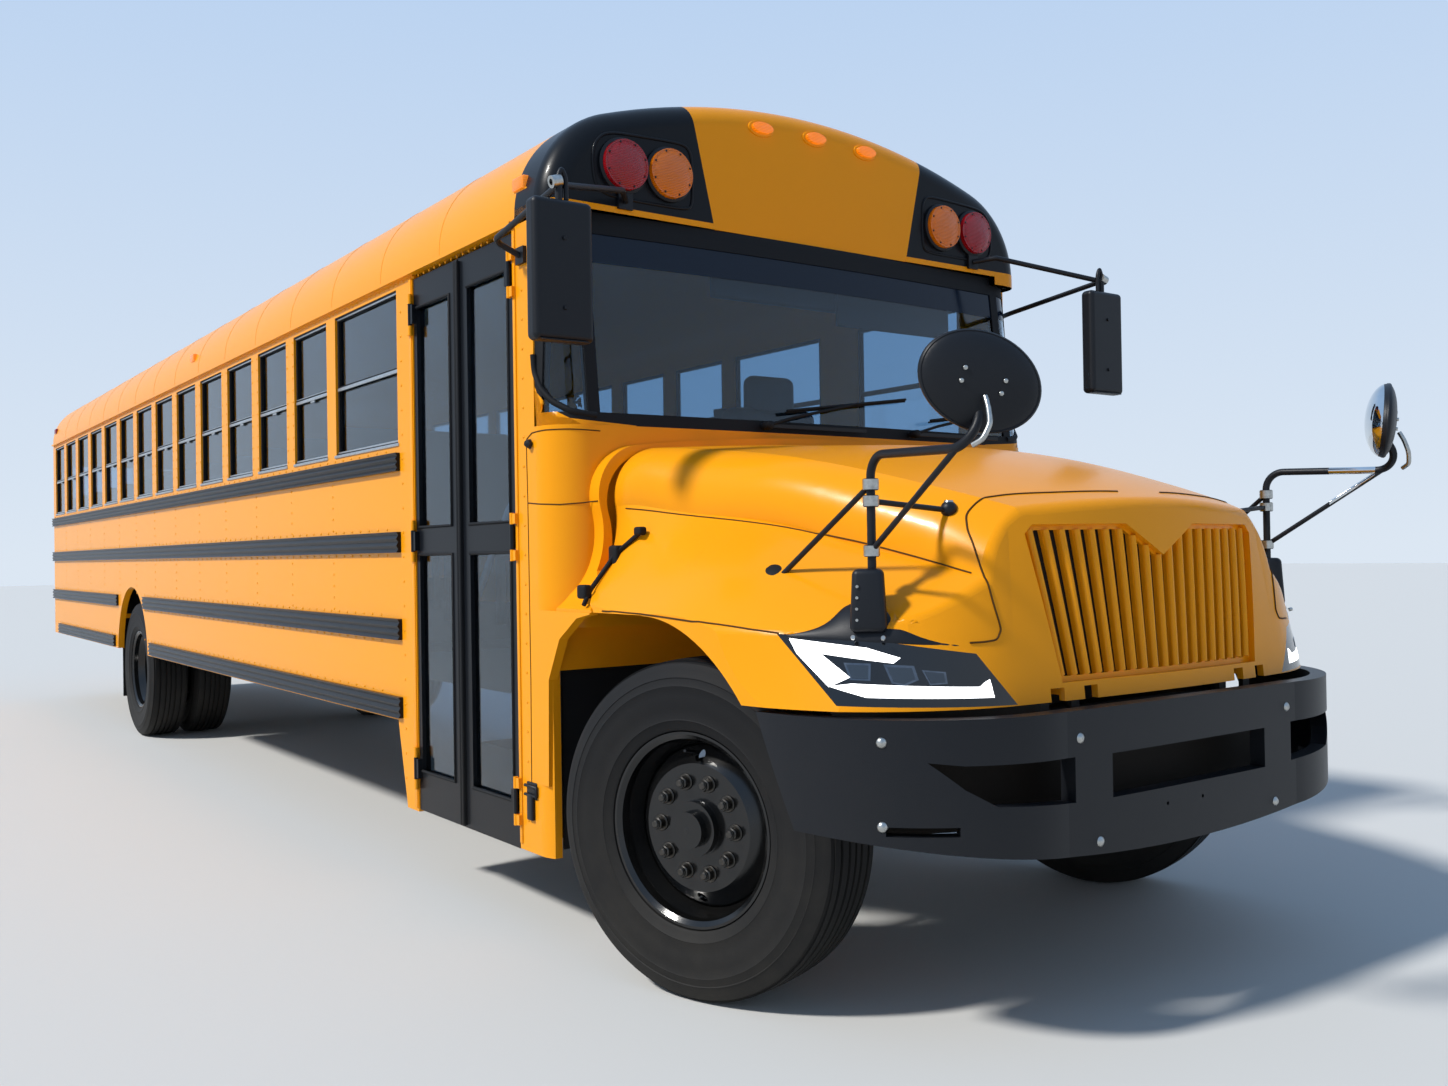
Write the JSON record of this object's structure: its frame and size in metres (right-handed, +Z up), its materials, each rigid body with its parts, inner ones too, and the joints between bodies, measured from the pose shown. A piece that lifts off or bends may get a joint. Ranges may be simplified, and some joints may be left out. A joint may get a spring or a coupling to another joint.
{
  "type": "school bus",
  "caption": "Full-size school bus with a tilting bonnet, steered front wheels, twin rear wheels, two-leaf entrance door, rear exit door and folding stop arm.",
  "frame": {"origin": "centre of the bounding box on the ground", "axes": "+X forward, +Y left, +Z up"},
  "size_m": [12.526, 2.924, 3.115],
  "materials": {
    "yellow_paint": "gloss",
    "black_paint": "satin",
    "chassis_black": "satin",
    "black_plastic": "satin",
    "rubber_black": "matte",
    "tyre_rubber": "matte",
    "rim_black": "gloss",
    "sash_metal": "satin",
    "tinted_glass": "gloss",
    "red_lens": "gloss",
    "amber_lens": "gloss",
    "lamp_clear": "gloss",
    "engine_iron": "matte",
    "axle_iron": "satin",
    "spring_steel": "satin",
    "cooler_metal": "satin",
    "pipe_steel": "satin",
    "seat_vinyl": "satin",
    "floor_rubber": "matte",
    "sign_red": "satin"
  },
  "bodies": {
    "bus": {"amber_lamps": "amber_lens", "cap_lamp_corners": "black_paint", "corner_panels": "yellow_paint", "cowl": "yellow_paint", "dashboard": "black_plastic", "driveshaft": "axle_iron", "engine_block": "engine_iron", "entrance_steps": "floor_rubber", "exhaust": "pipe_steel", "flat_mirrors": "black_plastic", "floor_pan": "floor_rubber", "frame_rails": "chassis_black", "front_axle": "axle_iron", "front_bumper": "black_plastic", "front_cap": "yellow_paint", "fuel_tank": "chassis_black", "leaf_springs": "spring_steel", "mud_flaps": "rubber_black", "radiator": "cooler_metal", "rear_axle": "axle_iron", "rear_bumper": "black_paint", "rear_wall": "yellow_paint", "red_lamps": "red_lens", "roof_shell": "yellow_paint", "rub_rails": "black_paint", "screen_surround": "rubber_black", "seat_frames": "chassis_black", "seats": "seat_vinyl", "side_wall_left": "yellow_paint", "side_wall_right": "yellow_paint", "wheel_houses": "floor_rubber", "window_glass": "tinted_glass", "window_sashes": "sash_metal", "wipers": "black_plastic"},
    "hood": {"hood_shell": "yellow_paint", "grille": "yellow_paint", "headlamps": "lamp_clear", "lamp_aprons": "black_plastic", "crossview_mirrors": "black_plastic"},
    "door_rear": {"door_leaf_rear": "black_paint", "door_glass_rear": "tinted_glass"},
    "door_front": {"door_leaf_front": "black_paint", "door_glass_front": "tinted_glass"},
    "exit_door": {"emergency_door": "yellow_paint", "emergency_glass": "tinted_glass"},
    "stop_arm": {"stop_arm": "sign_red"},
    "steer_left": {"knuckle_left": "axle_iron"},
    "steer_right": {"knuckle_right": "axle_iron"},
    "tie_rod": {"tie_rod": "axle_iron"},
    "wheel_front_left": {"front_rim_left": "rim_black", "front_tyre_left": "tyre_rubber"},
    "wheel_front_right": {"front_rim_right": "rim_black", "front_tyre_right": "tyre_rubber"},
    "wheels_rear_left": {"rear_rims_left": "rim_black", "rear_tyres_left": "tyre_rubber"},
    "wheels_rear_right": {"rear_rims_right": "rim_black", "rear_tyres_right": "tyre_rubber"}
  },
  "joints": [
    {"name": "hood_tilt", "type": "hinge", "parent": "bus", "child": "hood", "pos_m": [5.952, 0, 0.958], "axis": [0, 1, 0], "range_deg": [0, 58]},
    {"name": "door_rear_leaf", "type": "hinge", "parent": "bus", "child": "door_rear", "pos_m": [3.24, -1.231, 1.42], "axis": [0, 0, 1], "range_deg": [-88, 0]},
    {"name": "door_front_leaf", "type": "hinge", "parent": "bus", "child": "door_front", "pos_m": [4.159, -1.231, 1.42], "axis": [0, 0, 1], "range_deg": [0, 88]},
    {"name": "exit_door_hinge", "type": "hinge", "parent": "bus", "child": "exit_door", "pos_m": [-6.205, -0.33, 1.7], "axis": [0, 0, 1], "range_deg": [0, 105]},
    {"name": "stop_arm_hinge", "type": "hinge", "parent": "bus", "child": "stop_arm", "pos_m": [3.817, 1.237, 1.6], "axis": [0, 0, 1], "range_deg": [-90, 0]},
    {"name": "steer_left", "type": "hinge", "parent": "bus", "child": "steer_left", "pos_m": [5.024, 0.845, 0.52], "axis": [0, 0, 1], "range_deg": [-57.6, 22.4]},
    {"name": "steer_right", "type": "hinge", "parent": "bus", "child": "steer_right", "pos_m": [5.024, -0.845, 0.52], "axis": [0, 0, 1], "range_deg": [-57.6, 22.4]},
    {"name": "tie_rod_pivot", "type": "hinge", "parent": "steer_left", "child": "tie_rod", "pos_m": [4.83336, 0.78453, 0.435], "axis": [0, 0, 1], "range_deg": [-22.4, 57.6]},
    {"name": "spin_front_left", "type": "hinge", "parent": "steer_left", "child": "wheel_front_left", "pos_m": [4.96806, 1.02134, 0.52], "axis": [-0.3024, 0.9532, 0], "continuous": true},
    {"name": "spin_front_right", "type": "hinge", "parent": "steer_right", "child": "wheel_front_right", "pos_m": [5.07994, -1.02134, 0.52], "axis": [-0.3024, 0.9532, 0], "continuous": true},
    {"name": "spin_rear_left", "type": "hinge", "parent": "bus", "child": "wheels_rear_left", "pos_m": [-2.463, 1.05, 0.52], "axis": [0, 1, 0], "continuous": true},
    {"name": "spin_rear_right", "type": "hinge", "parent": "bus", "child": "wheels_rear_right", "pos_m": [-2.463, -1.05, 0.52], "axis": [0, 1, 0], "continuous": true}
  ],
  "couplings": [
    {"joint": "steer_right", "follows": "steer_left", "ratio": 1},
    {"joint": "tie_rod_pivot", "follows": "steer_left", "ratio": -1},
    {"joint": "door_front_leaf", "follows": "door_rear_leaf", "ratio": -1}
  ]
}
